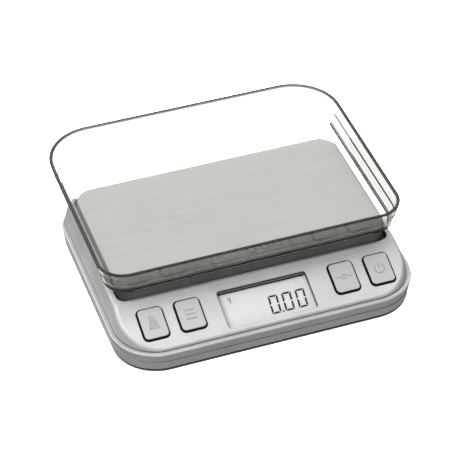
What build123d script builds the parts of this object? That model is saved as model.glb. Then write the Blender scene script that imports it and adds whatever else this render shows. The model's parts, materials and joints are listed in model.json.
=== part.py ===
from build123d import *
import math
import os

os.makedirs("parts", exist_ok=True)

# Sizes are in millimetres. X runs to the right along the control panel, Y to the back and Z up.
# The origin is the middle of the footprint of the scale and its tray, on the surface they stand on.

# Body shells
body_width = 132.5
body_depth = 100.6
front_corner_radius = 20.0
back_corner_radius = 12.0
stand_height = 1.1
parting_height = 5.7
parting_gap = 0.3
rim_height = 10.2
side_lean = 1.3
side_wall = 2.0
floor_wall = 1.6
rim_wall = 1.8
rim_lip_height = 1.1
rim_lip_step = 0.3
rim_edge_radius = 0.6
bottom_edge_radius = 0.9
joint_lip_height = 1.4
joint_lip_wall = 1.0
joint_lip_clearance = 0.15
joint_lip_foot = 1.2

# Raised part of the top shell, set in from the rim
plateau_step = 1.9
plateau_back_step = 4.3
plateau_back_radius = 3.6
plateau_side_lean = 2.1
plateau_front_lean = 3.0
plateau_back_lean = 0.8
plateau_wall = 2.0
ledge_edge_radius = 0.7
panel_edge_radius = 2.0
hole_edge_radius = 0.25
edge_tolerance = 0.01

# Sloping control panel
panel_tilt = 20.0
panel_wall = 2.0
panel_front_margin = 4.54
panel_front_rise = 0.75
crease_setback = 0.95

# Weighing platform
plate_side_setback = 7.05
plate_back_setback = 6.9
plate_corner_radius = 7.5
plate_thickness = 0.6
plate_edge_radius = 0.2
plate_rise = 4.5
tape_thickness = 0.2
tape_inset = 1.5
carrier_margin = 0.15
carrier_edge_radius = 0.9
carrier_skin = 1.8
carrier_skirt_wall = 1.6
carrier_rib = 1.2
carrier_rib_height = 3.0
carrier_rib_pitch = 24.0
carrier_cross_ribs = 4
carrier_long_ribs = 2
skirt_clearance = 1.0
well_gap = 0.6
well_corner_radius = 3.6
well_floor_wall = 1.4
well_wall = 1.1
post_length = 15.0
post_width = 12.0
post_opening_clearance = 2.0

# Lid, used upside down as a tray
tray_side_overhang = 0.45
tray_front_overhang = 4.2
tray_back_overhang = 21.9
tray_height = 12.1
tray_lean = 2.7
tray_wall = 1.5
tray_floor = 1.6
tray_front_radius = 11.9
tray_back_radius = 21.7
tray_foot_radius = 1.2
tray_inner_radius = 1.6
tray_rim_radius = 0.4
tray_band_height = 6.0
tray_band_step = 0.3

# Keys
key_width = 10.3
key_length = 13.7
key_corner_radius = 1.7
key_hole_gap = 0.6
key_proud = 1.0
key_edge_radius = 0.45
key_skin = 1.3
key_side_wall = 1.1
key_flange = 1.2
key_flange_thickness = 0.8
key_flange_clearance = 0.1
key_stem_radius = 1.9
key_stem_drop = 0.5
key_middle = 12.1
key_left_inset = 17.05
key_left_pitch = 16.0
key_right_inset = 16.0
key_right_pitch = 15.85

# Switches under the keys
switch_side = 6.0
switch_height = 2.0
plunger_engagement = 1.2
plunger_radius = 1.7
plunger_clearance = 0.08

# Display
window_left_gap = 8.55
window_right_gap = 9.75
window_length = 17.5
window_start = 4.7
window_corner_radius = 1.2
window_edge_radius = 0.6
gasket_thickness = 1.2
gasket_overlap = 0.2
glass_thickness = 1.8
glass_side_border = 2.2
glass_upper_border = 1.5
glass_lower_border = 1.2
zebra_height = 1.2
zebra_width = 1.5
zebra_end_inset = 1.5
zebra_inset = 0.5

# Control board
board_side_margin = 11.25
board_upper_inset = 4.5
board_lower_reach = 1.7
board_corner_radius = 8.0
board_thickness = 1.0
board_boss_radius = 1.8
board_boss_offset = 5.2
board_boss_drop = 2.5
board_boss_lift = 1.6
board_screw_radius = 0.9
board_screw_head_radius = 1.6
board_screw_head_height = 0.8
board_screw_bite = 3.0
chip_radius = 4.0
chip_height = 1.2
chip_edge_radius = 0.6
small_part_length = 2.4
small_part_width = 1.4
small_part_height = 0.9
small_part_pitch = 5.5
small_part_count = 5

# Load cell
beam_width = 12.0
beam_height = 7.0
beam_bottom = 5.0
beam_bore_radius = 2.3
beam_bore_spacing = 12.0
beam_slot_height = 1.6
beam_end_margin = 3.5
beam_screw_pitch = 7.0
beam_screw_radius = 1.5
beam_screw_head_radius = 2.7
beam_screw_head_height = 1.6
beam_screw_bite = 5.0
beam_stop_clearance = 0.45
beam_stop_radius = 3.5
seat_margin = 1.5
seat_corner_radius = 1.5
post_corner_radius = 1.5
gauge_end_clearance = 5.5
gauge_width = 9.0
gauge_thickness = 0.5
gauge_corner_radius = 1.5
carrier_screw_seat = 4.0

# Batteries: two slim cells side by side along Y
cell_radius = 5.2
cell_length = 43.5
nub_radius = 1.9
nub_length = 1.0
cell_gap = 0.7
cell_play = 0.3
cell_head_clearance = 0.3
bay_side_margin = 9.4
bay_back_margin = 18.1
bay_beam_gap = 3.45
bay_wall = 1.3
bay_wall_rise = 1.5
contact_room = 3.0
contact_thickness = 0.4
contact_width = 7.0
contact_height = 6.0
bridge_height = 3.0
contact_bow_clearance = 0.3
contact_fold = 1.2

# Battery door, hooked at its back end and held by a tongue at its front end
door_thickness = 1.5
door_gap = 0.25
door_tab_length = 1.0
door_tab_width = 2.4
door_tab_thickness = 0.8
door_tab_clearance = 0.2
door_tab_root = 1.2
door_tab_pitch = 9.7
door_corner_radius = 0.8
door_grip_pitch = 1.6
door_grip_count = 3
door_grip_depth = 0.4
door_tongue_width = 8.0
door_tongue_length = 7.0
door_slit = 0.8
finger_scoop_radius = 8.0
finger_scoop_depth = 1.0

# Screws and feet
screw_radius = 1.1
screw_head_radius = 2.1
screw_head_height = 1.3
screw_length = 8.4
screw_head_recess = 1.7
screw_fit = 0.05
screw_clearance = 0.2
boss_radius = 2.7
boss_clearance = 0.15
screw_front_inset = 1.05
screw_back_inset = 1.35
screw_back_setback = 3.55
foot_radius = 5.0
foot_recess = 0.6
foot_edge_radius = 0.3
foot_side_inset = 19.3
foot_end_inset = 10.3

# Worked out from the sizes above: places across the body
half_width = body_width / 2
plate_half = half_width - plate_side_setback
well_margin = carrier_margin + well_gap
well_half = plate_half + well_margin
key_places = {
    "cal": -half_width + key_left_inset,
    "memory": -half_width + key_left_inset + key_left_pitch,
    "tare": half_width - key_right_inset - key_right_pitch,
    "power": half_width - key_right_inset,
}
window_left = key_places["memory"] + key_width / 2 + window_left_gap
window_right = key_places["tare"] - key_width / 2 - window_right_gap
window_width = window_right - window_left
window_x = (window_left + window_right) / 2
board_width = body_width - 2 * board_side_margin

# Places from front to back
slope_cos = math.cos(math.radians(panel_tilt))
slope_sin = math.sin(math.radians(panel_tilt))
front_y = -(body_depth + tray_back_overhang) / 2
back_y = front_y + body_depth
window_end = window_start + window_length
crease_y = front_y + panel_front_margin + window_end * slope_cos
well_front_y = crease_y + crease_setback
plate_front_y = well_front_y + well_margin
plate_back_y = back_y - plate_back_setback
plate_depth = plate_back_y - plate_front_y
plate_centre_y = (plate_front_y + plate_back_y) / 2
well_back_y = plate_back_y + well_margin
plateau_front_radius = front_corner_radius - plateau_step

# Heights
floor_top = stand_height + floor_wall
base_top = parting_height - parting_gap / 2
band_bottom = parting_height + parting_gap / 2
lip_outer = side_wall + joint_lip_clearance
lip_inner = lip_outer + joint_lip_wall
rim_lip_bottom = rim_height - rim_lip_height
panel_rise = (crease_y - front_y - plateau_step) * slope_sin / slope_cos
ledge_height = rim_height + panel_front_rise + panel_rise
plate_top = ledge_height + plate_rise
carrier_top = plate_top - plate_thickness - tape_thickness
carrier_under = carrier_top - carrier_skin

# Batteries, their bay and the well's floor above them
cell_pitch = 2 * cell_radius + cell_gap
cell_axis_z = stand_height + door_thickness + cell_play + cell_radius
well_floor_bottom = cell_axis_z + cell_radius + cell_head_clearance
well_floor_top = well_floor_bottom + well_floor_wall
skirt_bottom = well_floor_top + skirt_clearance
bay_width = cell_pitch + 2 * cell_radius + 2 * cell_play
bay_length = cell_length + nub_length + contact_thickness + contact_room
bay_x = -half_width + bay_side_margin + bay_width / 2
bay_back_y = back_y - bay_back_margin
bay_front_y = bay_back_y - bay_length
bay_centre_y = (bay_front_y + bay_back_y) / 2
bay_top = cell_axis_z + bay_wall_rise
door_top = stand_height + door_thickness
tab_bottom = floor_top + door_tab_clearance
tab_top = tab_bottom + door_tab_thickness

# Load cell, centred under the platform and ending beside the battery bay
beam_length = -2 * (bay_x + bay_width / 2 + bay_wall + bay_beam_gap)
beam_top = beam_bottom + beam_height
beam_end_x = beam_length / 2 - beam_end_margin
post_x = beam_end_x - beam_screw_pitch / 2
gauge_length = 2 * (post_x - post_length / 2 - gauge_end_clearance)
case_head_seat = stand_height + screw_head_recess + screw_head_height
beam_head_seat = stand_height + beam_screw_head_height + screw_clearance

# Depths under the control panel
glass_depth = panel_wall + gasket_thickness
glass_back = glass_depth + glass_thickness
board_depth = glass_back + zebra_height
board_back = board_depth + board_thickness
board_length = window_end + board_lower_reach - board_upper_inset
key_flange_bottom = panel_wall + key_flange_clearance + key_flange_thickness
key_stem_end = key_flange_bottom + key_stem_drop
switch_top = board_depth - switch_height

case_screw_places = [
    (side * x, y)
    for x, y in (
        (well_half - screw_front_inset, well_front_y),
        (well_half - screw_back_inset, well_back_y - screw_back_setback),
    )
    for side in (-1, 1)
]
foot_places = [
    (side * (half_width - foot_side_inset), y)
    for y in (front_y + foot_end_inset, back_y - foot_end_inset)
    for side in (-1, 1)
]
fixed_screw_places = [(-post_x + side * beam_screw_pitch / 2, plate_centre_y) for side in (-1, 1)]
free_screw_places = [(post_x + side * beam_screw_pitch / 2, plate_centre_y) for side in (-1, 1)]
board_boss_columns = (window_left - board_boss_offset, window_right + board_boss_offset)
board_boss_places = [
    (x, -along)
    for along in (window_start + board_boss_drop, window_end - board_boss_lift)
    for x in board_boss_columns
]
key_centres = [(x, -key_middle) for x in key_places.values()]
tab_places = [(bay_x + side * door_tab_pitch, bay_back_y) for side in (-1, 0, 1)]

panel_plane = Plane(
    origin=(0, crease_y, ledge_height),
    x_dir=(1, 0, 0),
    z_dir=(0, -slope_sin, slope_cos),
)
panel_out = Axis((0, 0, 0), panel_plane.z_dir)


def below_panel(depth):
    """The plane that lies a depth under the control panel, with its own Y axis up the slope."""
    return panel_plane.offset(-depth)


def level(z):
    """The horizontal plane at height z."""
    return Plane.XY.offset(z)


def plan(z, half, front, back, front_radius, back_radius):
    """A level outline at height z with one corner radius in front and one at the back."""
    with BuildSketch(level(z), mode=Mode.PRIVATE) as outline:
        with Locations((0, (front + back) / 2)):
            Rectangle(2 * half, back - front)
        fillet(outline.vertices().group_by(Axis.Y)[0], front_radius)
        fillet(outline.vertices().group_by(Axis.Y)[-1], back_radius)
    return outline.sketch


def body_plan(z, inset):
    """The leaning side wall's outline at height z, drawn in by inset."""
    step = inset + side_lean * (rim_height - z) / (rim_height - stand_height)
    return plan(
        z,
        half_width - step,
        front_y + step,
        back_y - step,
        front_corner_radius - step,
        back_corner_radius - step,
    )


def plateau_plan(z, inset):
    """The raised part's outline at height z, drawn in by inset."""
    rise = (z - rim_height) / (ledge_height - rim_height)
    return plan(
        z,
        half_width - plateau_step - plateau_side_lean * rise - inset,
        front_y + plateau_step + plateau_front_lean * rise + inset,
        back_y - plateau_back_step - plateau_back_lean * rise - inset,
        plateau_front_radius - inset,
        plateau_back_radius - inset,
    )


def platform_plan(z, margin, radius):
    """The plate's outline at height z, widened by margin."""
    return plan(z, plate_half + margin, plate_front_y - margin, plate_back_y + margin, radius, radius)


def tray_plan(height, inset):
    """The tray's outline at a height above its foot, drawn in by inset."""
    step = inset + tray_lean * (1 - height / tray_height)
    return plan(
        plate_top + height,
        half_width + tray_side_overhang - step,
        plate_front_y - tray_front_overhang + step,
        back_y + tray_back_overhang - step,
        tray_front_radius - step,
        tray_back_radius - step,
    )


def on_panel(edge):
    """True for an edge of a hole or window in the panel's face."""
    at = panel_plane.to_local_coords(edge.center())
    return abs(at.Z) < edge_tolerance and -window_end - edge_tolerance < at.Y < -edge_tolerance


def in_window(edge):
    """True for the window's edges among those of the panel."""
    return window_left - edge_tolerance < edge.center().X < window_right + edge_tolerance


def in_key_hole(edge):
    """True for the edges of the key holes among those of the panel."""
    reach = key_width / 2 + key_hole_gap + edge_tolerance
    return any(abs(edge.center().X - x) < reach for x in key_places.values())


def save(piece, name):
    """Label a finished piece and write it to its own file."""
    piece.part.label = name
    export_step(piece.part, f"parts/{name}.step")


# Base shell: floor, leaning side wall and the lip that locates the top shell
with BuildPart() as base_shell:
    loft([body_plan(stand_height, 0), body_plan(base_top, 0)], ruled=True)
    fillet(base_shell.faces().sort_by(Axis.Z)[0].outer_wire().edges(), bottom_edge_radius)
    loft([body_plan(floor_top, side_wall), body_plan(base_top, side_wall)], ruled=True, mode=Mode.SUBTRACT)
    extrude(body_plan(base_top - joint_lip_foot, side_wall / 2), amount=joint_lip_foot)
    extrude(body_plan(base_top, lip_outer), amount=parting_height + joint_lip_height - base_top)
    extrude(
        body_plan(base_top - joint_lip_foot, lip_inner),
        amount=joint_lip_foot + parting_height + joint_lip_height - base_top,
        mode=Mode.SUBTRACT,
    )
    # walls of the battery bay
    with BuildSketch(level(floor_top)):
        with Locations((bay_x, bay_centre_y)):
            Rectangle(bay_width + 2 * bay_wall, bay_length + 2 * bay_wall)
    extrude(amount=bay_top - floor_top)
    # seat under the fixed end of the load cell and stop under its free end
    with BuildSketch(level(floor_top)):
        with Locations((-post_x, plate_centre_y)):
            RectangleRounded(post_length, beam_width + 2 * seat_margin, seat_corner_radius)
    extrude(amount=beam_bottom - floor_top)
    with BuildSketch(level(floor_top)):
        with Locations((post_x, plate_centre_y)):
            Circle(beam_stop_radius)
    extrude(amount=beam_bottom - beam_stop_clearance - floor_top)
    # columns for the case screws
    with BuildSketch(level(floor_top)):
        with Locations(*case_screw_places):
            Circle(boss_radius)
    extrude(amount=base_top - floor_top)
    # room for the cells and the opening of the battery door under it
    with BuildSketch(level(door_top)):
        with Locations((bay_x, bay_centre_y)):
            Rectangle(bay_width, bay_length)
    extrude(amount=bay_top - door_top, mode=Mode.SUBTRACT)
    with BuildSketch(level(stand_height)):
        with Locations((bay_x, bay_centre_y)):
            Rectangle(bay_width + 2 * door_gap, bay_length + 2 * door_gap)
    extrude(amount=floor_wall, mode=Mode.SUBTRACT)
    # slots for the door's tabs, with room for them to swing
    with BuildSketch(level(floor_top)):
        with Locations(*tab_places):
            Rectangle(door_tab_width + 2 * door_gap, 2 * (bay_wall + door_gap))
    extrude(amount=tab_top + door_tab_thickness - floor_top, mode=Mode.SUBTRACT)
    # scoop for a fingertip in front of the door's tongue
    with Locations((bay_x, bay_front_y, stand_height + finger_scoop_depth - finger_scoop_radius)):
        Sphere(finger_scoop_radius, mode=Mode.SUBTRACT)
    # recesses for the feet
    with BuildSketch(level(stand_height)):
        with Locations(*foot_places):
            Circle(foot_radius + screw_fit)
    extrude(amount=foot_recess, mode=Mode.SUBTRACT)
    # holes and head recesses of the case screws and of the load cell's fixed screws
    for places, radius, head_radius, seat in (
        (case_screw_places, screw_radius, screw_head_radius, case_head_seat),
        (fixed_screw_places, beam_screw_radius, beam_screw_head_radius, beam_head_seat),
    ):
        with BuildSketch(level(stand_height)):
            with Locations(*places):
                Circle(head_radius + screw_clearance)
        extrude(amount=seat - stand_height, mode=Mode.SUBTRACT)
        with BuildSketch(level(seat)):
            with Locations(*places):
                Circle(radius + screw_clearance)
        extrude(amount=base_top - seat, mode=Mode.SUBTRACT)
save(base_shell, "base_shell")

# Raised part of the top shell, cut by the slope of the control panel
with BuildPart() as plateau:
    loft([plateau_plan(rim_height - rim_wall / 2, 0), plateau_plan(ledge_height, 0)], ruled=True)
    split(bisect_by=panel_plane, keep=Keep.BOTTOM)
    # the panel's outer edges are rounded more than those of the ledge behind it
    panel_face = plateau.faces().filter_by(lambda face: face.is_coplanar(panel_plane))[0]
    panel_outer = panel_face.edges().filter_by(lambda edge: edge.center().Y < crease_y - edge_tolerance)
    fillet(panel_outer, panel_edge_radius)
    ledge_face = plateau.faces().sort_by(Axis.Z)[-1]
    ledge_outer = ledge_face.edges().filter_by(lambda edge: edge.center().Y > crease_y + panel_edge_radius)
    fillet(ledge_outer, ledge_edge_radius)

# Hollow inside the top shell, with the walls and floor of the platform's well left standing
with BuildPart() as top_hollow:
    loft([plateau_plan(band_bottom, plateau_wall), plateau_plan(ledge_height, plateau_wall)], ruled=True)
    split(bisect_by=below_panel(panel_wall), keep=Keep.BOTTOM)
    loft([body_plan(band_bottom, side_wall), body_plan(rim_height - rim_wall, side_wall)], ruled=True)
    extrude(
        platform_plan(well_floor_bottom, well_margin + well_wall, well_corner_radius + well_wall),
        amount=ledge_height - well_floor_bottom,
        mode=Mode.SUBTRACT,
    )
    # columns for the case screws
    with BuildSketch(level(base_top + boss_clearance)):
        with Locations(*case_screw_places):
            Circle(boss_radius)
    extrude(amount=well_floor_bottom - base_top - boss_clearance, mode=Mode.SUBTRACT)
    # bosses for the control board
    with BuildSketch(below_panel(board_depth)):
        with Locations(*board_boss_places):
            Circle(board_boss_radius)
    extrude(amount=board_depth - panel_wall, mode=Mode.SUBTRACT)

# Top shell: side band with its rim, plateau, well for the platform, key holes and window
with BuildPart() as top_shell:
    loft(
        [body_plan(band_bottom, rim_lip_step), body_plan(rim_lip_bottom, rim_lip_step)],
        ruled=True,
    )
    loft([body_plan(rim_lip_bottom, 0), body_plan(rim_height, 0)], ruled=True)
    fillet(top_shell.faces().sort_by(Axis.Z)[-1].outer_wire().edges(), rim_edge_radius)
    add(plateau.part)
    add(top_hollow.part, mode=Mode.SUBTRACT)
    extrude(
        platform_plan(well_floor_top, well_margin, well_corner_radius),
        amount=ledge_height,
        mode=Mode.SUBTRACT,
    )
    # opening in the well's floor for the platform's post
    with BuildSketch(level(well_floor_bottom)):
        with Locations((post_x, plate_centre_y)):
            RectangleRounded(
                post_length + 2 * post_opening_clearance, post_width + 2 * post_opening_clearance, well_corner_radius
            )
    extrude(amount=well_floor_wall, mode=Mode.SUBTRACT)
    # key holes and window in the panel
    with BuildSketch(below_panel(panel_wall)):
        with Locations(*key_centres):
            RectangleRounded(
                key_width + 2 * key_hole_gap, key_length + 2 * key_hole_gap, key_corner_radius + key_hole_gap
            )
        with Locations((window_x, -(window_start + window_end) / 2)):
            RectangleRounded(window_width, window_length, window_corner_radius)
    extrude(amount=panel_wall, mode=Mode.SUBTRACT)
    # their upper edges, the window's rounded more than the holes'
    panel_edges = top_shell.edges().filter_by(on_panel)
    fillet(panel_edges.filter_by(in_window), window_edge_radius)
    fillet(panel_edges.filter_by(in_key_hole), hole_edge_radius)
    # screw holes
    with BuildSketch(level(base_top)):
        with Locations(*case_screw_places):
            Circle(screw_radius + screw_fit)
    extrude(amount=case_head_seat + screw_length - base_top + screw_clearance, mode=Mode.SUBTRACT)
    with BuildSketch(below_panel(board_depth)):
        with Locations(*board_boss_places):
            Circle(board_screw_radius + screw_fit)
    extrude(amount=board_screw_bite + screw_clearance, mode=Mode.SUBTRACT)
save(top_shell, "top_shell")

# Rubber feet
with BuildPart() as rubber_feet:
    with BuildSketch():
        with Locations(*foot_places):
            Circle(foot_radius)
    extrude(amount=stand_height + foot_recess)
    fillet(rubber_feet.faces().group_by(Axis.Z)[0].edges(), foot_edge_radius)
save(rubber_feet, "rubber_feet")

# Screws that hold the two shells together
with BuildPart() as case_screws:
    with BuildSketch(level(case_head_seat - screw_head_height)):
        with Locations(*case_screw_places):
            Circle(screw_head_radius)
    extrude(amount=screw_head_height)
    with BuildSketch(level(case_head_seat)):
        with Locations(*case_screw_places):
            Circle(screw_radius)
    extrude(amount=screw_length)
save(case_screws, "case_screws")

# Battery door with three tabs at the back and a spring tongue between two slits in front
with BuildPart() as battery_door:
    with BuildSketch(level(stand_height)):
        with Locations((bay_x, bay_centre_y)):
            Rectangle(bay_width, bay_length)
        with Locations(
            *[
                (bay_x + side * (door_tongue_width + door_slit) / 2, bay_front_y + door_tongue_length / 2)
                for side in (-1, 1)
            ]
        ):
            Rectangle(door_slit, door_tongue_length, mode=Mode.SUBTRACT)
    extrude(amount=door_thickness)
    fillet(battery_door.edges().filter_by(Axis.Z).group_by(Axis.Y)[-1], door_corner_radius)
    for x, y in tab_places:
        with BuildSketch(level(door_top)):
            with Locations((x, y - door_tab_root / 2)):
                Rectangle(door_tab_width, door_tab_root)
        extrude(amount=tab_top - door_top)
        with BuildSketch(level(tab_bottom)):
            with Locations((x, y)):
                Rectangle(door_tab_width, 2 * door_tab_length)
        extrude(amount=door_tab_thickness)
    # grip grooves across the tongue
    with BuildSketch(level(stand_height)):
        with Locations(*[(bay_x, bay_front_y + (line + 1) * door_grip_pitch) for line in range(door_grip_count)]):
            Rectangle(door_tongue_width - 2 * door_slit, door_slit)
    extrude(amount=door_grip_depth, mode=Mode.SUBTRACT)
save(battery_door, "battery_door")

# Battery cells: the left one points to the back and the right one to the front
for name, side in (("battery_cell_left", -1), ("battery_cell_right", 1)):
    flat_end = bay_centre_y + side * bay_length / 2 - side * contact_room
    with BuildPart() as battery_cell:
        with BuildSketch(Plane.XZ.offset(-flat_end)):
            with Locations((bay_x + side * cell_pitch / 2, cell_axis_z)):
                Circle(cell_radius)
        extrude(amount=side * cell_length)
        with BuildSketch(Plane.XZ.offset(-(flat_end - side * cell_length))):
            with Locations((bay_x + side * cell_pitch / 2, cell_axis_z)):
                Circle(nub_radius)
        extrude(amount=side * nub_length)
    save(battery_cell, name)

def plate_outline(side, end):
    """The flat contact's outline on the bay's front (-1) or back (1) wall, for the left or right cell."""
    with BuildSketch(Plane.XZ.offset(-bay_centre_y - end * bay_length / 2)) as outline:
        with Locations((bay_x + side * cell_pitch / 2, cell_axis_z)):
            Rectangle(contact_width, contact_height)
    return outline.sketch


def leaf_profile(side, end):
    """The side view of a folded leaf that presses on a cell's flat end from a plate on the wall."""
    wall_y = bay_centre_y + end * bay_length / 2
    near = wall_y - end * contact_thickness / 2
    far = wall_y - end * (contact_room - contact_bow_clearance - contact_thickness / 2)
    low = cell_axis_z - contact_height / 2
    high = cell_axis_z + contact_height / 2
    with BuildSketch(Plane.YZ.offset(bay_x + side * cell_pitch / 2)) as profile:
        with BuildLine():
            FilletPolyline(
                (near, low),
                (near, high),
                (far, cell_axis_z + contact_fold / 2),
                (far, cell_axis_z - contact_fold / 2),
                (near - end * contact_fold, low),
                radius=contact_thickness,
            )
        trace(line_width=contact_thickness)
    return profile.sketch


# Battery contacts: a bridge across both cells at the back and one terminal for each in front
with BuildPart() as contact_bridge:
    extrude(plate_outline(-1, 1), amount=contact_thickness)
    extrude(leaf_profile(1, 1), amount=contact_width / 2, both=True)
    with BuildSketch(Plane.XZ.offset(-bay_back_y)):
        with Locations((bay_x, cell_axis_z)):
            Rectangle(cell_pitch, bridge_height)
    extrude(amount=contact_thickness)
save(contact_bridge, "contact_bridge")

with BuildPart() as contact_negative:
    extrude(leaf_profile(-1, -1), amount=contact_width / 2, both=True)
save(contact_negative, "contact_negative")

with BuildPart() as contact_positive:
    extrude(plate_outline(1, -1), amount=-contact_thickness)
save(contact_positive, "contact_positive")

# Load cell: an aluminium beam thinned by two bores and the slot between them
with BuildPart() as load_cell:
    with BuildSketch(Plane.XZ.offset(-plate_centre_y)):
        with Locations((0, beam_bottom + beam_height / 2)):
            Rectangle(beam_length, beam_height)
            Rectangle(beam_bore_spacing, beam_slot_height, mode=Mode.SUBTRACT)
            with Locations((-beam_bore_spacing / 2, 0), (beam_bore_spacing / 2, 0)):
                Circle(beam_bore_radius, mode=Mode.SUBTRACT)
    extrude(amount=beam_width / 2, both=True)
    with BuildSketch(level(beam_bottom)):
        with Locations(*fixed_screw_places, *free_screw_places):
            Circle(beam_screw_radius + screw_fit)
    extrude(amount=beam_height, mode=Mode.SUBTRACT)
save(load_cell, "load_cell")

# Rubber covers over the strain gauges above and below the thinned part of the beam
with BuildPart() as gauge_covers:
    for z in (beam_bottom - gauge_thickness, beam_top):
        with BuildSketch(level(z)):
            with Locations((0, plate_centre_y)):
                RectangleRounded(gauge_length, gauge_width, gauge_corner_radius)
        extrude(amount=gauge_thickness)
save(gauge_covers, "gauge_covers")

# Screws that hold the load cell's fixed end to the base
with BuildPart() as load_cell_screws:
    with BuildSketch(level(beam_head_seat - beam_screw_head_height)):
        with Locations(*fixed_screw_places):
            Circle(beam_screw_head_radius)
    extrude(amount=beam_screw_head_height)
    with BuildSketch(level(beam_head_seat)):
        with Locations(*fixed_screw_places):
            Circle(beam_screw_radius)
    extrude(amount=beam_bottom + beam_screw_bite - beam_head_seat)
save(load_cell_screws, "load_cell_screws")

# Platform carrier: a ribbed black cap with a post that stands on the load cell's free end
with BuildPart() as platform_carrier:
    extrude(
        platform_plan(skirt_bottom, carrier_margin, plate_corner_radius),
        amount=carrier_top - skirt_bottom,
    )
    fillet(platform_carrier.faces().sort_by(Axis.Z)[-1].edges(), carrier_edge_radius)
    extrude(
        platform_plan(skirt_bottom, carrier_margin - carrier_skirt_wall, plate_corner_radius - carrier_skirt_wall),
        amount=carrier_under - skirt_bottom,
        mode=Mode.SUBTRACT,
    )
    with BuildSketch(level(carrier_under - carrier_rib_height)):
        with Locations((0, plate_centre_y)):
            with GridLocations(carrier_rib_pitch, 0, carrier_cross_ribs, 1):
                Rectangle(carrier_rib, plate_depth - carrier_skirt_wall)
            with GridLocations(0, carrier_rib_pitch, 1, carrier_long_ribs):
                Rectangle(2 * plate_half - carrier_skirt_wall, carrier_rib)
    extrude(amount=carrier_rib_height)
    with BuildSketch(level(beam_top)):
        with Locations((post_x, plate_centre_y)):
            RectangleRounded(post_length, post_width, post_corner_radius)
    extrude(amount=carrier_under - beam_top)
    with BuildSketch(level(beam_top)):
        with Locations(*free_screw_places):
            Circle(beam_screw_radius + screw_clearance)
    extrude(amount=carrier_top - beam_top, mode=Mode.SUBTRACT)
    with BuildSketch(level(beam_top + carrier_screw_seat)):
        with Locations(*free_screw_places):
            Circle(beam_screw_head_radius + screw_clearance)
    extrude(amount=carrier_top - beam_top - carrier_screw_seat, mode=Mode.SUBTRACT)
save(platform_carrier, "platform_carrier")

# Screws that hold the carrier to the load cell's free end
with BuildPart() as carrier_screws:
    with BuildSketch(level(beam_top + carrier_screw_seat)):
        with Locations(*free_screw_places):
            Circle(beam_screw_head_radius)
    extrude(amount=beam_screw_head_height)
    with BuildSketch(level(beam_top - beam_screw_bite)):
        with Locations(*free_screw_places):
            Circle(beam_screw_radius)
    extrude(amount=beam_screw_bite + carrier_screw_seat)
save(carrier_screws, "carrier_screws")

# Adhesive sheet under the plate
with BuildPart() as plate_adhesive:
    extrude(platform_plan(carrier_top, -tape_inset, plate_corner_radius - tape_inset), amount=tape_thickness)
save(plate_adhesive, "plate_adhesive")

# Brushed steel plate of the platform
with BuildPart() as platform_plate:
    extrude(platform_plan(plate_top - plate_thickness, 0, plate_corner_radius), amount=plate_thickness)
    fillet(platform_plate.faces().sort_by(Axis.Z)[-1].edges(), plate_edge_radius)
save(platform_plate, "platform_plate")

# Clear tray: a flared wall that is thicker above a step, and a rounded foot
with BuildPart() as tray:
    loft([tray_plan(0, tray_band_step), tray_plan(tray_band_height, tray_band_step)], ruled=True)
    fillet(tray.faces().sort_by(Axis.Z)[0].edges(), tray_foot_radius)
    loft([tray_plan(tray_band_height, 0), tray_plan(tray_height, 0)], ruled=True)
    loft([tray_plan(tray_floor, tray_wall), tray_plan(tray_height, tray_wall)], ruled=True, mode=Mode.SUBTRACT)
    inside_z = plate_top + tray_floor
    inner_floor = tray.faces().filter_by_position(Axis.Z, inside_z - edge_tolerance, inside_z + edge_tolerance)
    fillet(inner_floor.edges(), tray_inner_radius)
    fillet(tray.faces().sort_by(Axis.Z)[-1].edges(), tray_rim_radius)
save(tray, "tray")

# Control board, parallel to the panel
with BuildPart() as main_board:
    with BuildSketch(below_panel(board_back)) as board_outline:
        with Locations((0, -(board_upper_inset + board_length / 2))):
            Rectangle(board_width, board_length)
        fillet(board_outline.vertices().group_by(Axis.Y)[0], board_corner_radius)
        with Locations(*board_boss_places):
            Circle(board_screw_radius + screw_clearance, mode=Mode.SUBTRACT)
    extrude(amount=board_thickness)
save(main_board, "main_board")

# Moulded blob over the board's chip and a row of small parts, on the board's underside
with BuildPart() as board_chip:
    with BuildSketch(below_panel(board_back)):
        with Locations((window_x, -key_middle)):
            Circle(chip_radius)
    extrude(amount=-chip_height)
    fillet(board_chip.faces().sort_by(panel_out)[0].edges(), chip_edge_radius)
save(board_chip, "board_chip")

with BuildPart() as board_parts:
    with BuildSketch(below_panel(board_back)):
        for x, side in zip(board_boss_columns, (-1, 1)):
            with Locations((x + side * small_part_pitch * small_part_count / 2, -key_middle)):
                with GridLocations(small_part_pitch, 0, small_part_count, 1):
                    Rectangle(small_part_length, small_part_width)
    extrude(amount=-small_part_height)
save(board_parts, "board_parts")

# Screws that hold the board to the panel's bosses
with BuildPart() as board_screws:
    with BuildSketch(below_panel(board_back)):
        with Locations(*board_boss_places):
            Circle(board_screw_head_radius)
    extrude(amount=-board_screw_head_height)
    with BuildSketch(below_panel(board_back)):
        with Locations(*board_boss_places):
            Circle(board_screw_radius)
    extrude(amount=board_thickness + board_screw_bite)
save(board_screws, "board_screws")

# Display glass, the frame of foam between it and the panel, and the contact strips behind it
glass_width = window_width + 2 * glass_side_border
glass_length = window_length + glass_upper_border + glass_lower_border
glass_middle = (window_x, -(window_start - glass_upper_border + glass_length / 2))
with BuildPart() as lcd_glass:
    with BuildSketch(below_panel(glass_back)):
        with Locations(glass_middle):
            Rectangle(glass_width, glass_length)
    extrude(amount=glass_thickness)
save(lcd_glass, "lcd_glass")

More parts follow.
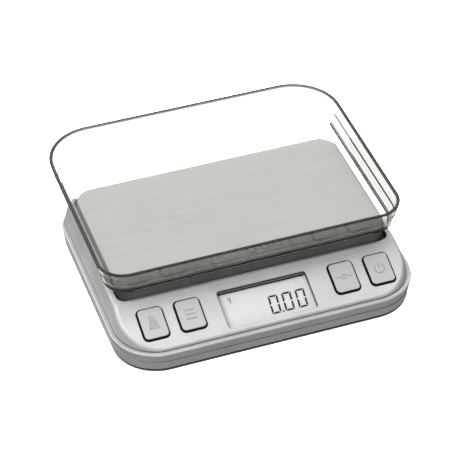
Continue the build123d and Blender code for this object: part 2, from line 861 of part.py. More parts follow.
with BuildPart() as lcd_gasket:
    with BuildSketch(below_panel(glass_depth)):
        with Locations(glass_middle):
            Rectangle(glass_width, glass_length)
        with Locations((window_x, -(window_start + window_end) / 2)):
            RectangleRounded(
                window_width + 2 * gasket_overlap,
                window_length + 2 * gasket_overlap,
                window_corner_radius,
                mode=Mode.SUBTRACT,
            )
    extrude(amount=gasket_thickness)
save(lcd_gasket, "lcd_gasket")

with BuildPart() as zebra_strips:
    with BuildSketch(below_panel(board_depth)):
        with Locations(glass_middle):
            with GridLocations(0, glass_length - zebra_width - 2 * zebra_inset, 1, 2):
                Rectangle(window_width - 2 * zebra_end_inset, zebra_width)
    extrude(amount=zebra_height)
save(zebra_strips, "zebra_strips")

# Switches under the keys
with BuildPart() as switch_bodies:
    with BuildSketch(below_panel(board_depth)):
        with Locations(*key_centres):
            Rectangle(switch_side, switch_side)
            Circle(plunger_radius + plunger_clearance, mode=Mode.SUBTRACT)
    extrude(amount=switch_height)
save(switch_bodies, "switch_bodies")

# Keys: hollow caps with a flange under the panel and a stem over the switch's plunger
for name, x in key_places.items():
    with BuildPart() as key_cap:
        with BuildSketch(below_panel(key_flange_bottom)):
            with Locations((x, -key_middle)):
                RectangleRounded(key_width, key_length, key_corner_radius)
        extrude(amount=key_flange_bottom + key_proud)
        fillet(key_cap.faces().sort_by(panel_out)[-1].edges(), key_edge_radius)
        with BuildSketch(below_panel(key_flange_bottom)):
            with Locations((x, -key_middle)):
                RectangleRounded(key_width + 2 * key_flange, key_length + 2 * key_flange, key_corner_radius)
        extrude(amount=key_flange_thickness)
        with BuildSketch(below_panel(key_flange_bottom)):
            with Locations((x, -key_middle)):
                Rectangle(key_width - 2 * key_side_wall, key_length - 2 * key_side_wall)
        extrude(amount=key_flange_bottom + key_proud - key_skin, mode=Mode.SUBTRACT)
        with BuildSketch(below_panel(key_stem_end)):
            with Locations((x, -key_middle)):
                Circle(key_stem_radius)
        extrude(amount=key_stem_end + key_proud - key_skin)
    save(key_cap, f"key_{name}")

    with BuildPart() as plunger:
        with BuildSketch(below_panel(switch_top + plunger_engagement)):
            with Locations((x, -key_middle)):
                Circle(plunger_radius)
        extrude(amount=switch_top + plunger_engagement - key_stem_end)
    save(plunger, f"plunger_{name}")
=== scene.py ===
import json
import math

import bmesh
import bpy
from mathutils import Matrix, Vector


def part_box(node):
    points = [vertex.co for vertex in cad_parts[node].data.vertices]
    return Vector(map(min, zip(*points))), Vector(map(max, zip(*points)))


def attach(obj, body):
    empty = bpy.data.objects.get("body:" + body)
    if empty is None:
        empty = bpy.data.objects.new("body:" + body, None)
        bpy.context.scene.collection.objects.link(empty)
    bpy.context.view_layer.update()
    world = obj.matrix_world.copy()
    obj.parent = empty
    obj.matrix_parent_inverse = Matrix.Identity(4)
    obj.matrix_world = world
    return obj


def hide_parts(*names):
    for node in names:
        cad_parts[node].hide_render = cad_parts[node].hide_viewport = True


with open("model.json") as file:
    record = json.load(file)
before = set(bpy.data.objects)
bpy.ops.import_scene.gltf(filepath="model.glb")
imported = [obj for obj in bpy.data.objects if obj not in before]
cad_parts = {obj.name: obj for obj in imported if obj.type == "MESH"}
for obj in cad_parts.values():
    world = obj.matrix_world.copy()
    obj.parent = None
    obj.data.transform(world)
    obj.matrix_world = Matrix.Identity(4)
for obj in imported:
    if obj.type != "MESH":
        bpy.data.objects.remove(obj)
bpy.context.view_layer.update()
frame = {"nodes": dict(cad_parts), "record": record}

# Sizes and places of the scale are in millimetres, as in the part's source. MM turns them into metres.
MM = 0.001
nodes = frame["nodes"]

# Case
RIM_HEIGHT = 10.2
ledge_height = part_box("top_shell")[1].z / MM

# Control panel: its tilt, its top edge and the way it faces
PANEL_TILT = math.radians(20)
CREASE_TO_PLATE = 1.7
crease_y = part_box("platform_plate")[0].y / MM - CREASE_TO_PLATE
panel_normal = Vector((0, -math.sin(PANEL_TILT), math.cos(PANEL_TILT)))

# Painted shade, near black, on the walls of the panel's openings: the depths where it starts and is full, and
# its limits
KEY_GAP_SHADE_DEPTHS = (0.04, 0.14)
WINDOW_WALL_SHADE_DEPTHS = (0.25, 0.50)
OPENING_SHADE_LEFT, OPENING_SHADE_RIGHT = -55.1, 56.2
OPENING_SHADE_FRONT, OPENING_SHADE_BACK = -57.0, -35.3
KEY_GAP_SHADE_FRONT = -54.9
OPENING_SHADE_EDGE = 0.2
WINDOW_EDGE = 1.0

# Painted shade in the crease at the foot of the raised part: its height from the rim, and its stops of
# (position, brightness)
CREASE_SHADE_BOTTOM, CREASE_SHADE_TOP = -0.04, 1.0
CREASE_SHADE_STOPS = ((0.0, 1.0), (0.03, 1.0), (0.06, 0.22), (0.30, 0.30), (0.62, 0.85), (1.0, 1.0))

# Display: its face from the panel's, the height of the print and painted shadow on it, the digits, the unit,
# and a painted shadow, a dark strip along its upper edge for the shade of the window's wall
GLASS_FACE = -3.2
INK_AND_SHADOW_LOW, INK_AND_SHADOW_HIGH = GLASS_FACE + 0.004, GLASS_FACE + 0.03
DIGIT_WIDE, DIGIT_HIGH, DIGIT_PITCH = 4.2, 8.6, 5.92
DIGITS_LEFT, DIGITS_TOP = 0.95, 10.7
STROKE, GAP, SLANT, MIDDLE_CUT = 0.86, 0.20, 0.075, 0.45
DOT_SIDE, DOT_GAP = 0.75, 0.25
UNIT_X, UNIT_S, UNIT_RADIUS, UNIT_STROKE = -14.75, 7.95, 0.55, 0.24
UNIT_RISE, UNIT_DROP = 0.65, 1.05
SHADOW_STRIP_LEFT, SHADOW_STRIP_RIGHT, SHADOW_STRIP_TOP, SHADOW_STRIP_FOOT = -19.6, 22.6, 4.5, 5.2

# Keys: their middle down the slope, their face above the panel, the lacquer on them with painted shade on the
# flanks below it, and their raised signs
KEY_MIDDLE = 12.1
KEY_TOP = 1.0
SHADE_TO_LACQUER_START, SHADE_TO_LACQUER_END = 0.72, 0.88
SIGN_SINK, SIGN_RELIEF, SIGN_SOFTEN = 0.02, 0.16, 0.03
SIGN_STROKE = 0.5

# Sizes of the signs, with places down the slope and half widths counted from the middle of their key
WEIGHT_TOP, WEIGHT_FOOT, WEIGHT_TOP_HALF, WEIGHT_FOOT_HALF = -1.2, 2.8, 1.5, 2.3
WEIGHT_RING, WEIGHT_RING_RADIUS = -2.1, 0.85
BARS_HALF, BARS_PITCH, BARS_STROKE = 2.2, 2, 0.6
NOUGHT_RADIUS, NOUGHT_INNER, NOUGHT_OUTER, NOUGHT_STROKE = 1.0, 1.7, 3.4, 0.45
POWER_RADIUS, POWER_OPENING, POWER_TOP, POWER_FOOT = 2.1, 32, -2.7, -0.2

# Clear tray: the sizes of the part's source, and the gap that keeps its foot from coinciding with the plate
tray_low, tray_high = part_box("tray")
tray_height = (tray_high.z - tray_low.z) / MM
TRAY_LEAN, TRAY_WALL, TRAY_FLOOR = 2.7, 1.5, 1.6
FRONT_RADIUS, BACK_RADIUS = 11.9, 21.7
FOOT_RADIUS, INNER_RADIUS, RIM_RADIUS = 1.2, 1.6, 0.4
REST_GAP = 0.04
CORNER_STEPS = 24

# The tray's band and the step above it, by points of (height from the band's top, inset)
BAND_HEIGHT, BAND_STEP = 6.0, 0.3
STEP_PROFILE = ((-0.22, BAND_STEP), (0.0, BAND_STEP - 0.05), (0.08, 0.08), (0.2, 0.0), (0.6, 0.0))

# Painted shade lines: the step and some layers of the inner corner's faces are dark, up to a distance from
# the tray's back. They fade with Y on the way.
DARK_CORNER = range(3, 6)
DARK_END = 22.0
FADE_START, FADE_END = 0.0, 30.0


def on_panel(x, slope, height):
    """A point of the panel in metres: x across, slope down from its top edge, height above its face."""
    return Vector((
        x,
        crease_y - slope * math.cos(PANEL_TILT) - height * math.sin(PANEL_TILT),
        ledge_height - slope * math.sin(PANEL_TILT) + height * math.cos(PANEL_TILT),
    )) * MM


panel_face = on_panel(0, 0, 0).dot(panel_normal)


# Shader nodes

# The colour inputs and the colour output of a Mix node
MIX_FIRST, MIX_SECOND, MIX_RESULT = 6, 7, 2


def plug(node, inputs):
    """Links a node's inputs to the sockets given for them, and sets those that are given a plain value."""
    for name, source in inputs.items():
        if isinstance(source, bpy.types.NodeSocket):
            node.id_data.links.new(source, node.inputs[name])
        else:
            node.inputs[name].default_value = source


def adder(tree):
    """A function that adds a shader node to a tree, with its settings and its inputs."""
    def add(kind, inputs=None, **settings):
        node = tree.nodes.new("ShaderNode" + kind)
        for name, value in settings.items():
            setattr(node, name, value)
        plug(node, inputs or {})
        return node

    return add


def graph(name):
    """A new material, its Principled shader and a function that adds nodes to it."""
    material = bpy.data.materials.new(name)
    material.use_nodes = True
    return material, material.node_tree.nodes["Principled BSDF"], adder(material.node_tree)


def coordinates(add, scale=(1, 1, 1)):
    """A surface point on its object, scaled."""
    place = add("TexCoord").outputs["Object"]
    return add("Mapping", {"Vector": place, "Scale": scale}).outputs["Vector"]


def axes(add):
    """A surface point's X, Y and Z on its object, in metres."""
    return add("SeparateXYZ", {"Vector": add("TexCoord").outputs["Object"]}).outputs


def along_normal(add):
    """A surface point's place along the panel's normal, where the panel's own face is at panel_face."""
    place = add("TexCoord").outputs["Object"]
    return add("VectorMath", {0: place, 1: panel_normal}, operation="DOT_PRODUCT").outputs["Value"]


def noise(add, scale, detail, roughness=0.5, stretch=(1, 1, 1)):
    """Even noise from 0 to 1, or lines where it is stretched."""
    inputs = {"Vector": coordinates(add, stretch), "Scale": scale, "Detail": detail, "Roughness": roughness}
    return add("TexNoise", inputs).outputs["Fac"]


def combine(add, operation, first, second):
    """Works out one value from two."""
    return add("Math", {0: first, 1: second}, operation=operation).outputs[0]


def product(add, first, *others):
    """Multiplies values."""
    for other in others:
        first = combine(add, "MULTIPLY", first, other)
    return first


def spread(add, source, low, high, start=0.0, end=1.0, curve="LINEAR"):
    """Maps a value from start..end to low..high."""
    inputs = {"Value": source, "From Min": start, "From Max": end, "To Min": low, "To Max": high}
    return add("MapRange", inputs, interpolation_type=curve).outputs["Result"]


def step(add, source, start, end):
    """0 at start, rising to 1 at end."""
    return spread(add, source, 0.0, 1.0, start, end)


def ramp(add, source, stops):
    """Colours a value by (position, colour) stops, the lowest first."""
    node = add("ValToRGB", {"Fac": source})
    elements = node.color_ramp.elements
    for position, colour in stops[1:-1]:
        elements.new(position)
    for element, (position, colour) in zip(elements, stops):
        element.position = position
        element.color = (*colour, 1)
    return node.outputs["Color"]


def two_tone(add, source, low, high, start=0.3, end=0.7):
    """Spreads a value between two colours."""
    return ramp(add, source, ((start, low), (end, high)))


def mixed(add, factor, first, second, blend="MIX"):
    """Blends two colours."""
    inputs = {"Factor": factor, MIX_FIRST: first, MIX_SECOND: second}
    return add("Mix", inputs, data_type="RGBA", blend_type=blend).outputs[MIX_RESULT]


def relief(add, source, strength, depth):
    """Fine relief of a surface, as the normal that its shader takes."""
    inputs = {"Height": source, "Strength": strength, "Distance": depth * MM}
    return add("Bump", inputs).outputs["Normal"]


# Materials

CLOUD = 12.0
GRAIN_SHARE = 0.6


def speckled(name, low, high, grain, rough, metallic=0.0, bump=0.1, depth=0.02, coat=0.0):
    """Painted or moulded surface: fine grain, and slow clouding of its colour and its gloss."""
    material, shader, add = graph(name)
    fine = noise(add, 1 / (grain * MM), 3.0, 0.6)
    slow = noise(add, 1 / (CLOUD * MM), 2.0)
    both = add("Math", {0: fine, 1: GRAIN_SHARE, 2: slow}, operation="MULTIPLY_ADD").outputs[0]
    plug(shader, {
        "Base Color": two_tone(add, combine(add, "SUBTRACT", both, GRAIN_SHARE / 2), low, high),
        "Roughness": spread(add, slow, *rough),
        "Normal": relief(add, fine, bump, depth),
        "Metallic": metallic,
        "Coat Weight": coat,
    })
    return material


def brushed(name, low, high, rough, along=(4, 260, 260), metallic=1.0, stretch=0.0):
    """Metal with fine lines along one axis, over broad ones."""
    material, shader, add = graph(name)
    lines = noise(add, 40.0, 4.0, 0.65, along)
    broad = noise(add, 12.0, 2.0, 0.5, (along[0], along[1] / 6, along[2] / 6))
    mean = combine(add, "MULTIPLY", combine(add, "ADD", lines, broad), 0.5)
    plug(shader, {
        "Base Color": two_tone(add, mean, low, high, 0.25, 0.75),
        "Roughness": spread(add, lines, *rough),
        "Normal": relief(add, lines, 0.15, 0.012),
        "Metallic": metallic,
        "Anisotropic": stretch,
    })
    return material


def painted(material):
    """A finished material's shader, the socket that colours it and a function that adds nodes to it."""
    shader = material.node_tree.nodes["Principled BSDF"]
    return shader, shader.inputs["Base Color"].links[0].from_socket, adder(material.node_tree)


def paint_opening_shade(material):
    """Painted shade, near black, on the walls of the panel's openings. Over the glass it starts deeper."""
    shader, paint, add = painted(material)
    place = axes(add)
    x, y = place["X"], place["Y"]
    height = along_normal(add)
    glass_low, glass_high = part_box("lcd_glass")

    def under_face(start, end):
        return step(add, height, panel_face - start * MM, panel_face - end * MM)

    def inside(source, limit, inward, edge):
        """0 outside a limit, in metres, and 1 from an edge's width inside it."""
        return step(add, source, limit, limit + inward * edge * MM)

    window = product(add, inside(x, glass_low.x, 1, WINDOW_EDGE), inside(x, glass_high.x, -1, WINDOW_EDGE))
    beside = combine(add, "SUBTRACT", 1.0, window)
    deep = product(add, window, under_face(*WINDOW_WALL_SHADE_DEPTHS))
    shallow = product(add, beside, under_face(*KEY_GAP_SHADE_DEPTHS), inside(y, KEY_GAP_SHADE_FRONT * MM, 1, OPENING_SHADE_EDGE))
    limits = ((x, OPENING_SHADE_LEFT, 1), (x, OPENING_SHADE_RIGHT, -1), (y, OPENING_SHADE_FRONT, 1), (y, OPENING_SHADE_BACK, -1))
    within = [inside(source, limit * MM, inward, OPENING_SHADE_EDGE) for source, limit, inward in limits]
    mask = product(add, combine(add, "ADD", deep, shallow), *within)
    # Near-black painted shade on the opening walls, mixed over the paint by the mask
    plug(shader, {"Base Color": mixed(add, mask, paint, (0.02, 0.02, 0.02, 1))})


def paint_crease_shade(material):
    """Painted shade: a soft dark line in the crease where the raised part of the case meets its rim."""
    shader, paint, add = painted(material)
    rise = step(add, axes(add)["Z"], (RIM_HEIGHT + CREASE_SHADE_BOTTOM) * MM, (RIM_HEIGHT + CREASE_SHADE_TOP) * MM)
    shade = ramp(add, rise, [(position, (level, level, level)) for position, level in CREASE_SHADE_STOPS])
    # The painted crease shade is multiplied over the paint
    plug(shader, {"Base Color": mixed(add, 1.0, paint, shade, "MULTIPLY")})


def board_material():
    """Green circuit board with a faint net of tracks."""
    material, shader, add = graph("circuit_board")
    inputs = {"Vector": coordinates(add), "Scale": 340.0}
    cells = add("TexVoronoi", inputs, distance="CHEBYCHEV", feature="DISTANCE_TO_EDGE").outputs["Distance"]
    plug(shader, {
        "Base Color": two_tone(add, cells, (0.03, 0.17, 0.07), (0.012, 0.09, 0.04), 0.05, 0.12),
        "Roughness": spread(add, noise(add, 220.0, 2.0), 0.28, 0.42),
        "Normal": relief(add, cells, 0.15, 0.03),
    })
    return material


def display_material():
    """Pale grey reflective display behind polished glass."""
    material, shader, add = graph("display")
    plug(shader, {
        "Base Color": two_tone(add, noise(add, 5200.0, 2.0), (0.47, 0.475, 0.475), (0.515, 0.52, 0.52)),
        "Roughness": spread(add, noise(add, 60.0, 1.0), 0.22, 0.30),
        "Coat Weight": 0.5,
        "Coat Roughness": 0.04,
    })
    return material


def clear_material(name, walls, fade_to=None):
    """Clear moulded plastic: clear floor, walls darkened by painted shade, and painted shade near black on
    the rim's top.
    """
    material, shader, add = graph(name)
    slow = noise(add, 45.0, 2.0)
    place = axes(add)
    height = step(add, place["Z"], tray_low.z + TRAY_FLOOR * MM, tray_high.z)
    # Painted shade: walls darker than the clear floor, and the rim's top near black
    colour = ramp(add, height, (
        (0.0, (0.97, 0.965, 0.955)),
        (0.16, [0.92 * level for level in walls]),
        (0.925, [1.08 * level for level in walls]),
        (0.945, (0.03, 0.032, 0.03)),
        (1.0, (0.012, 0.013, 0.012)),
    ))
    if fade_to:
        fade = step(add, place["Y"], FADE_START * MM, FADE_END * MM)
        colour = mixed(add, fade, colour, (*fade_to, 1))
    plug(shader, {
        "Base Color": colour,
        "Roughness": spread(add, slow, 0.0, 0.03),
        "Normal": relief(add, slow, 0.01, 0.1),
        "Transmission Weight": 1.0,
        "IOR": 1.49,
        "Specular IOR Level": 0.1,
    })
    absorb = add("VolumeAbsorption", {"Density": 400.0, "Color": (0.705, 0.708, 0.69, 1)})
    plug(material.node_tree.nodes["Material Output"], {"Volume": absorb.outputs["Volume"]})
    return material


def key_material():
    """Silver lacquer on the cap's face and its rounded edge, and painted shade, near black, on the flanks
    below.
    """
    material, shader, add = graph("key_paint")
    fine = noise(add, 5500.0, 3.0)
    edge = step(add, along_normal(add), panel_face + SHADE_TO_LACQUER_START * MM, panel_face + SHADE_TO_LACQUER_END * MM)
    lacquer = two_tone(add, fine, (0.38, 0.38, 0.37), (0.44, 0.44, 0.43))
    plug(shader, {
        # Painted shade, near black, on the flanks under the lacquer
        "Base Color": mixed(add, edge, (0.012, 0.012, 0.012, 1), lacquer),
        "Roughness": spread(add, fine, 0.38, 0.48),
        "Normal": relief(add, fine, 0.18, 0.02),
        "Metallic": 0.35,
    })
    return material


SILVER = ((0.47, 0.47, 0.46), (0.54, 0.54, 0.53))
silver = speckled("silver_paint", *SILVER, grain=0.18, rough=(0.34, 0.44), metallic=0.5, bump=0.22)
paint_opening_shade(silver)
paint_crease_shade(silver)
grey_shell = speckled("grey_paint", *SILVER, grain=0.18, rough=(0.36, 0.46), metallic=0.5, bump=0.22)
mark_paint = speckled("mark_paint", (0.29, 0.29, 0.285), (0.34, 0.34, 0.335), grain=0.18, rough=(0.38, 0.48),
                      metallic=0.35, bump=0.18)
black_plastic = speckled("black_plastic", (0.075, 0.075, 0.073), (0.10, 0.10, 0.097), grain=0.3,
                         rough=(0.30, 0.42), bump=0.15)
rubber = speckled("soft_rubber", (0.02, 0.02, 0.02), (0.045, 0.045, 0.045), grain=0.4, rough=(0.7, 0.9),
                  bump=0.4, depth=0.04)
steel = brushed("brushed_steel", (0.66, 0.645, 0.62), (0.80, 0.785, 0.755), rough=(0.30, 0.42),
                metallic=0.75, stretch=0.4)
screw_steel = brushed("screw_steel", (0.42, 0.42, 0.43), (0.62, 0.62, 0.62), rough=(0.25, 0.40),
                      along=(60, 60, 60))
contact_metal = brushed("contact_plating", (0.60, 0.59, 0.56), (0.78, 0.77, 0.74), rough=(0.20, 0.34),
                        along=(40, 90, 90))
aluminium = brushed("machined_aluminium", (0.62, 0.63, 0.64), (0.78, 0.78, 0.79), rough=(0.30, 0.42),
                    along=(8, 180, 180))
cell_sleeve = speckled("cell_sleeve", (0.05, 0.11, 0.20), (0.07, 0.14, 0.25), grain=1.2, rough=(0.28, 0.40),
                       bump=0.05, coat=0.2)
sealant = speckled("sealant", (0.72, 0.72, 0.68), (0.82, 0.82, 0.78), grain=0.6, rough=(0.45, 0.6),
                   bump=0.3, depth=0.08)
chip_black = speckled("chip_resin", (0.010, 0.010, 0.010), (0.024, 0.024, 0.024), grain=0.4,
                      rough=(0.35, 0.5), bump=0.2)
small_parts = speckled("small_parts", (0.09, 0.08, 0.07), (0.42, 0.37, 0.30), grain=0.9, rough=(0.4, 0.55))
foam = speckled("foam_strip", (0.30, 0.30, 0.31), (0.42, 0.42, 0.43), grain=0.5, rough=(0.8, 0.95),
                bump=0.5, depth=0.1)
adhesive = speckled("adhesive_sheet", (0.55, 0.54, 0.48), (0.66, 0.65, 0.60), grain=0.8, rough=(0.6, 0.75),
                    bump=0.2)
# Near black, for the printed digits and unit, and for the painted shadow strip at the display's top
ink_and_shadow = speckled("display_ink_and_shadow", (0.006, 0.006, 0.007), (0.012, 0.012, 0.014), grain=0.4, rough=(0.35, 0.5),
               bump=0.05)
board_green = board_material()
key_paint = key_material()
display = display_material()
clear = clear_material("clear_plastic", (0.34, 0.355, 0.33))
# Painted shade lines on the step and inner corner of the tray, fading out towards the back
clear_shade_lines = clear_material("clear_plastic_step", (0.10, 0.106, 0.097), fade_to=(1.0, 1.0, 1.0))

FINISHES = {
    "case_silver": silver, "case_grey": grey_shell, "key_silver": key_paint, "black_plastic": black_plastic,
    "steel_plate": steel, "clear_plastic": clear, "rubber": rubber, "screw_steel": screw_steel,
    "contact_metal": contact_metal, "cell_sleeve": cell_sleeve, "aluminium": aluminium, "sealant": sealant,
    "board_green": board_green, "chip_black": chip_black, "small_parts": small_parts, "lcd": display,
    "foam": foam, "adhesive": adhesive,
}
slot_of = {part["node"]: part["material_slot"] for part in frame["record"]["subparts"]}
for name, piece in nodes.items():
    for place in piece.material_slots:
        place.material = FINISHES[slot_of[name]]


# Objects and meshes

def add_object(name, data):
    """A new object in the scene."""
    item = bpy.data.objects.new(name, data)
    bpy.context.scene.collection.objects.link(item)
    return item


def tidy_normals(mesh):
    """Turns the faces of a closed mesh outwards."""
    form = bmesh.new()
    form.from_mesh(mesh)
    bmesh.ops.recalc_face_normals(form, faces=form.faces)
    form.to_mesh(mesh)
    form.free()


def band(below, above, count):
    """Faces between two rings of vertices, each given by the number of its first vertex."""
    return [(below + i, below + (i + 1) % count, above + (i + 1) % count, above + i) for i in range(count)]


# Flat shapes on the control panel, as outlines of (x, slope) points

def rectangle(left, top, right, foot):
    """A level rectangle."""
    return [(left, top), (right, top), (right, foot), (left, foot)]


def bar(x0, s0, x1, s1, width):
    """A straight stroke between two points."""
    run = Vector((x1 - x0, s1 - s0)).normalized()
    side = Vector((-run.y, run.x)) * width / 2
    return [(x0 + side.x, s0 + side.y), (x1 + side.x, s1 + side.y), (x1 - side.x, s1 - side.y),
            (x0 - side.x, s0 - side.y)]


def ring(x, s, radius, width, start=0.0, end=360.0, steps=40):
    """A round band of four-sided shapes, closed or open. Its angles run clockwise from the top."""
    inner, outer = radius - width / 2, radius + width / 2
    turns = [math.radians(start + (end - start) * i / steps) for i in range(steps + 1)]
    shapes = []
    for a, b in zip(turns, turns[1:]):
        corners = ((inner, a), (outer, a), (outer, b), (inner, b))
        shapes.append([(x + r * math.sin(turn), s - r * math.cos(turn)) for r, turn in corners])
    return shapes


def slab(name, outlines, low, high, material, body, soften=0.0):
    """Flat raised shapes on the panel, from low to high above its face, with softened upper edges."""
    verts, faces = [], []
    for outline in outlines:
        first = len(verts)
        count = len(outline)
        centre = Vector((sum(x for x, s in outline) / count, sum(s for x, s in outline) / count))
        for height, pull in ((low, 0.0), (high - soften, 0.0), (high, soften)):
            for point in outline:
                inward = centre - Vector(point)
                at = Vector(point) + (inward.normalized() * pull if inward.length > pull else inward)
                verts.append(on_panel(at.x, at.y, height))
        for layer in (0, 1):
            faces += band(first + layer * count, first + (layer + 1) * count, count)
        faces.append(tuple(first + 2 * count + i for i in range(count)))
        faces.append(tuple(first + i for i in reversed(range(count))))
    mesh = bpy.data.meshes.new(name)
    mesh.from_pydata([tuple(v) for v in verts], [], faces)
    mesh.materials.append(material)
    tidy_normals(mesh)
    piece = add_object(name, mesh)
    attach(piece, body)


# Display

def segment(corner, along, length, side):
    """One bar of a digit, shorter at its inner edge. Its ends are at 45 degrees, or blunter at the middle."""
    x, s = corner
    if along == "x":
        points = [(0, 0), (length, 0), (length - STROKE, side * STROKE), (STROKE, side * STROKE)]
    else:
        points = [(0, 0), (0, length), (side * STROKE, length - STROKE * MIDDLE_CUT), (side * STROKE, STROKE)]
    return [(x + px, s + ps) for px, ps in points]


def lean(points):
    """Slants a digit about its middle height."""
    return [(x - (s - DIGITS_TOP - DIGIT_HIGH / 2) * SLANT, s) for x, s in points]


def zero(left):
    """The six outer bars of a digit."""
    right, top, low = left + DIGIT_WIDE, DIGITS_TOP, DIGITS_TOP + DIGIT_HIGH
    level = DIGIT_WIDE - 2 * GAP
    upright = DIGIT_HIGH / 2 - GAP - GAP / 2
    shapes = [segment((left + GAP, top), "x", level, 1), segment((left + GAP, low), "x", level, -1)]
    for edge, side in ((left, 1), (right, -1)):
        upper = segment((edge, top + GAP), "y", upright, side)
        shapes += [upper, [(x, top + low - s) for x, s in upper]]
    return [lean(shape) for shape in shapes]


def reading():
    """Plain numbers, 0.00."""
    shapes = [shape for place in range(3) for shape in zero(DIGITS_LEFT + place * DIGIT_PITCH)]
    dot_x = DIGITS_LEFT + DIGIT_WIDE + DOT_GAP
    foot = DIGITS_TOP + DIGIT_HIGH
    return shapes + [rectangle(dot_x, foot - DOT_SIDE, dot_x + DOT_SIDE, foot)]


def unit():
    """A small g: a ring, a stem at its right and a hook under it."""
    stem_x, hook_s = UNIT_X + UNIT_RADIUS, UNIT_S + UNIT_DROP
    stem = bar(stem_x, UNIT_S - UNIT_RISE, stem_x, hook_s, UNIT_STROKE)
    hook = ring(UNIT_X, hook_s, UNIT_RADIUS, UNIT_STROKE, 90, 215, steps=14)
    return ring(UNIT_X, UNIT_S, UNIT_RADIUS, UNIT_STROKE, steps=24) + [stem] + hook


# Painted shadow: a dark strip on the glass along the display's top, for the shade that the window's upper
# wall casts
shadow_strip = rectangle(SHADOW_STRIP_LEFT, SHADOW_STRIP_TOP, SHADOW_STRIP_RIGHT, SHADOW_STRIP_FOOT)
for name, shapes in (("display_digits", reading()), ("display_border", [shadow_strip]), ("display_unit", unit())):
    slab(name, shapes, INK_AND_SHADOW_LOW, INK_AND_SHADOW_HIGH, ink_and_shadow, "case")


# Signs on the keys

def weight_sign(x):
    """A weight: a block that widens downwards, with a ring on it."""
    top, foot = KEY_MIDDLE + WEIGHT_TOP, KEY_MIDDLE + WEIGHT_FOOT
    block = [(x - WEIGHT_TOP_HALF, top), (x + WEIGHT_TOP_HALF, top), (x + WEIGHT_FOOT_HALF, foot),
             (x - WEIGHT_FOOT_HALF, foot)]
    return [block] + ring(x, KEY_MIDDLE + WEIGHT_RING, WEIGHT_RING_RADIUS, SIGN_STROKE)


def bars_sign(x):
    """Three level bars."""
    places = [KEY_MIDDLE + i * BARS_PITCH for i in (-1, 0, 1)]
    return [bar(x - BARS_HALF, s, x + BARS_HALF, s, BARS_STROKE) for s in places]


def nought_sign(x):
    """A nought between two level strokes."""
    strokes = [bar(x + side * NOUGHT_OUTER, KEY_MIDDLE, x + side * NOUGHT_INNER, KEY_MIDDLE, NOUGHT_STROKE)
               for side in (-1, 1)]
    return ring(x, KEY_MIDDLE, NOUGHT_RADIUS, SIGN_STROKE) + strokes


def power_sign(x):
    """A ring that is open at the top, with a stroke in its opening."""
    stroke = bar(x, KEY_MIDDLE + POWER_TOP, x, KEY_MIDDLE + POWER_FOOT, SIGN_STROKE)
    return ring(x, KEY_MIDDLE, POWER_RADIUS, SIGN_STROKE, POWER_OPENING, 360 - POWER_OPENING) + [stroke]


for key, sign in (("key_cal", weight_sign), ("key_memory", bars_sign), ("key_tare", nought_sign),
                  ("key_power", power_sign)):
    key_low, key_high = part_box(key)
    key_x = (key_low.x + key_high.x) / 2 / MM
    slab(key + "_mark", sign(key_x), KEY_TOP - SIGN_SINK, KEY_TOP + SIGN_RELIEF, mark_paint, key,
         soften=SIGN_SOFTEN)


# Clear tray

def tray_ring(height, inset):
    """Outline of the tray at a height above its foot, drawn in by inset from the leaning outer wall."""
    draw_in = inset + TRAY_LEAN * (1 - height / tray_height)
    half = tray_high.x / MM - draw_in
    front = tray_low.y / MM + draw_in
    back = tray_high.y / MM - draw_in
    points = []
    for x_side, y, radius, first in ((1, front, FRONT_RADIUS, -90), (1, back, BACK_RADIUS, 0),
                                     (-1, back, BACK_RADIUS, 90), (-1, front, FRONT_RADIUS, 180)):
        r = radius - draw_in
        centre_y = y + r if y == front else y - r
        for i in range(CORNER_STEPS + 1):
            a = math.radians(first + 90 * i / CORNER_STEPS)
            points.append(((x_side * (half - r) + r * math.cos(a)) * MM, (centre_y + r * math.sin(a)) * MM,
                           tray_low.z + height * MM))
    return points


def arc(height, inset, radius, first, last, steps=6):
    """Profile points (height, inset) round a centre: 0 degrees points inward and 90 up."""
    turn = [math.radians(first + (last - first) * i / steps) for i in range(steps + 1)]
    return [(height + radius * math.sin(a), inset + radius * math.cos(a)) for a in turn]


def make_tray():
    """The tray as rings from its foot up the outside, over the rim and down the inside to its floor."""
    profile = arc(REST_GAP + FOOT_RADIUS, BAND_STEP + FOOT_RADIUS, FOOT_RADIUS, -90, -180, 8)
    dark_layers = list(range(len(profile), len(profile) + len(STEP_PROFILE) - 1))
    profile += [(BAND_HEIGHT + rise, inset) for rise, inset in STEP_PROFILE]
    profile += arc(tray_height - RIM_RADIUS, RIM_RADIUS, RIM_RADIUS, 180, 90)
    profile += arc(tray_height - RIM_RADIUS, TRAY_WALL - RIM_RADIUS, RIM_RADIUS, 90, 0)
    dark_layers += [len(profile) + layer for layer in DARK_CORNER]
    profile += arc(TRAY_FLOOR + INNER_RADIUS, TRAY_WALL + INNER_RADIUS, INNER_RADIUS, 180, 270, 8)
    rings = [tray_ring(height, inset) for height, inset in profile]
    count = len(rings[0])
    verts = [point for ring_points in rings for point in ring_points]
    faces = [tuple(reversed(range(count)))]
    for layer in range(len(rings) - 1):
        faces += band(layer * count, (layer + 1) * count, count)
    faces.append(tuple((len(rings) - 1) * count + i for i in range(count)))
    mesh = bpy.data.meshes.new("clear_tray")
    mesh.from_pydata(verts, [], faces)
    mesh.materials.append(clear)
    mesh.materials.append(clear_shade_lines)
    # Painted shade lines: these faces take the darker clear material
    for layer in dark_layers:
        for face in mesh.polygons[1 + layer * count:1 + (layer + 1) * count]:
            face.material_index = int(face.center.y < tray_high.y - DARK_END * MM)
    tidy_normals(mesh)
    mesh.shade_smooth()
    piece = add_object("clear_tray", mesh)
    weighted = piece.modifiers.new("weighted", "WEIGHTED_NORMAL")
    weighted.keep_sharp = True
    weighted.weight = 100
    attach(piece, "tray")
    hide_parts("tray")


make_tray()


# Stage, light and camera, with places and lengths in metres

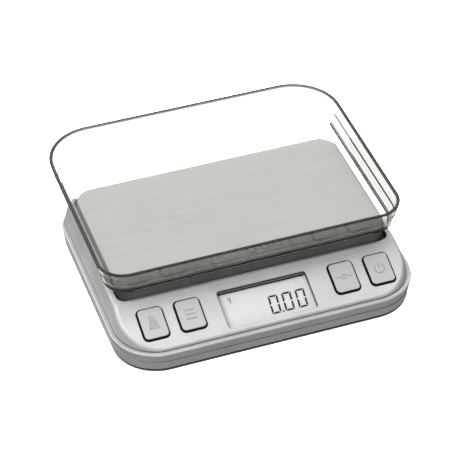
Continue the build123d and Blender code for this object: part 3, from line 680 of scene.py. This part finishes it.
FLOOR_REACH = 4.0
SHADOW_REACH = 0.0022
SHADOW_START, SHADOW_END = 0.50, 0.78
FLOOR_GLOW = 2.8

# Camera of the photograph, from its calibration: its place, the way it looks, and its lens
CAMERA_PLACE = Vector((-0.2221, -0.62315, 0.5882))
CAMERA_LOOK = Vector((0.2528, 0.7124, -0.6547))
CAMERA_UP = Vector((0.2190, 0.6170, 0.7560))
FOCAL_PIXELS, PHOTO_PIXELS = 2040, 452
SENSOR_WIDTH = 36.0


def make_floor():
    """White floor that shines, and is darker only right beside the case, where a painted shadow from
    occlusion dims its colour and its glow. Reflections don't show it.
    """
    reach = FLOOR_REACH
    mesh = bpy.data.meshes.new("floor")
    mesh.from_pydata([(-reach, -reach, 0), (reach, -reach, 0), (reach, reach, 0), (-reach, reach, 0)], [],
                     [(0, 1, 2, 3)])
    floor = add_object("floor", mesh)
    material, shader, add = graph("floor")
    near = add("AmbientOcclusion", {"Distance": SHADOW_REACH}).outputs["AO"]
    plug(shader, {
        "Base Color": two_tone(add, near, (0.10, 0.10, 0.10), (0.80, 0.80, 0.80), SHADOW_START, SHADOW_END),
        "Roughness": 0.9,
        "Specular IOR Level": 0.1,
        "Emission Color": (1, 1, 1, 1),
        "Emission Strength": spread(add, near, 0.0, FLOOR_GLOW, SHADOW_START, SHADOW_END, "SMOOTHSTEP"),
    })
    mesh.materials.append(material)
    floor.visible_diffuse = False
    floor.visible_glossy = False


def softbox(name, place, aim, size, power):
    """Rectangular light that shows neither in reflections nor through clear plastic."""
    data = bpy.data.lights.new(name, "AREA")
    data.shape = "RECTANGLE"
    data.size, data.size_y = size
    data.energy = power
    light = add_object(name, data)
    light.location = place
    light.rotation_mode = "QUATERNION"
    light.rotation_quaternion = (Vector(aim) - Vector(place)).to_track_quat("-Z", "Y")
    light.visible_glossy = False
    light.visible_transmission = False


def studio():
    """Light of the room: bright above and behind, dim in front, pale from the floor below."""
    world = bpy.data.worlds.new("world")
    bpy.context.scene.world = world
    world.use_nodes = True
    add = adder(world.node_tree)
    direction = add("TexCoord").outputs["Generated"]

    def level(toward, start, end, low, high):
        """Light that grows from low to high as a direction turns towards one side."""
        facing = add("VectorMath", {0: direction, 1: Vector(toward).normalized()}, operation="DOT_PRODUCT")
        return spread(add, facing.outputs["Value"], low, high, start, end, "SMOOTHSTEP")

    sky = level((-0.02, 0.75, 0.65), 0.15, 1.0, 0.15, 1.75)
    ground = level((0, 0, -1), 0.0, 0.4, 0.0, 0.15)
    plug(world.node_tree.nodes["Background"], {
        "Color": (1, 1, 1, 1),
        "Strength": combine(add, "ADD", sky, ground),
    })


def make_camera():
    """The camera of the photograph."""
    data = bpy.data.cameras.new("camera")
    data.sensor_width = SENSOR_WIDTH
    data.lens = FOCAL_PIXELS / PHOTO_PIXELS * SENSOR_WIDTH
    data.clip_start = 0.05
    data.clip_end = 20
    look = CAMERA_LOOK.normalized()
    side = look.cross(CAMERA_UP).normalized()
    turn = Matrix((side, side.cross(look), -look)).transposed()
    camera = add_object("camera", data)
    camera.matrix_world = Matrix.Translation(CAMERA_PLACE) @ turn.to_4x4()
    bpy.context.scene.camera = camera


make_floor()
softbox("top_light", (-0.10, 0.30, 1.2), (0, 0, 0), (1.2, 1.2), 3.0)
softbox("left_light", (-0.28, -0.12, 0.48), (0, 0, 0), (0.35, 0.35), 3.4)
softbox("front_light", (0.05, -0.95, 0.20), (0, 0, 0.01), (0.8, 0.3), 3.6)
studio()
make_camera()

bpy.context.scene.view_settings.view_transform = "Standard"
bpy.context.scene.view_settings.look = "None"
bpy.context.scene.cycles.use_denoising = True
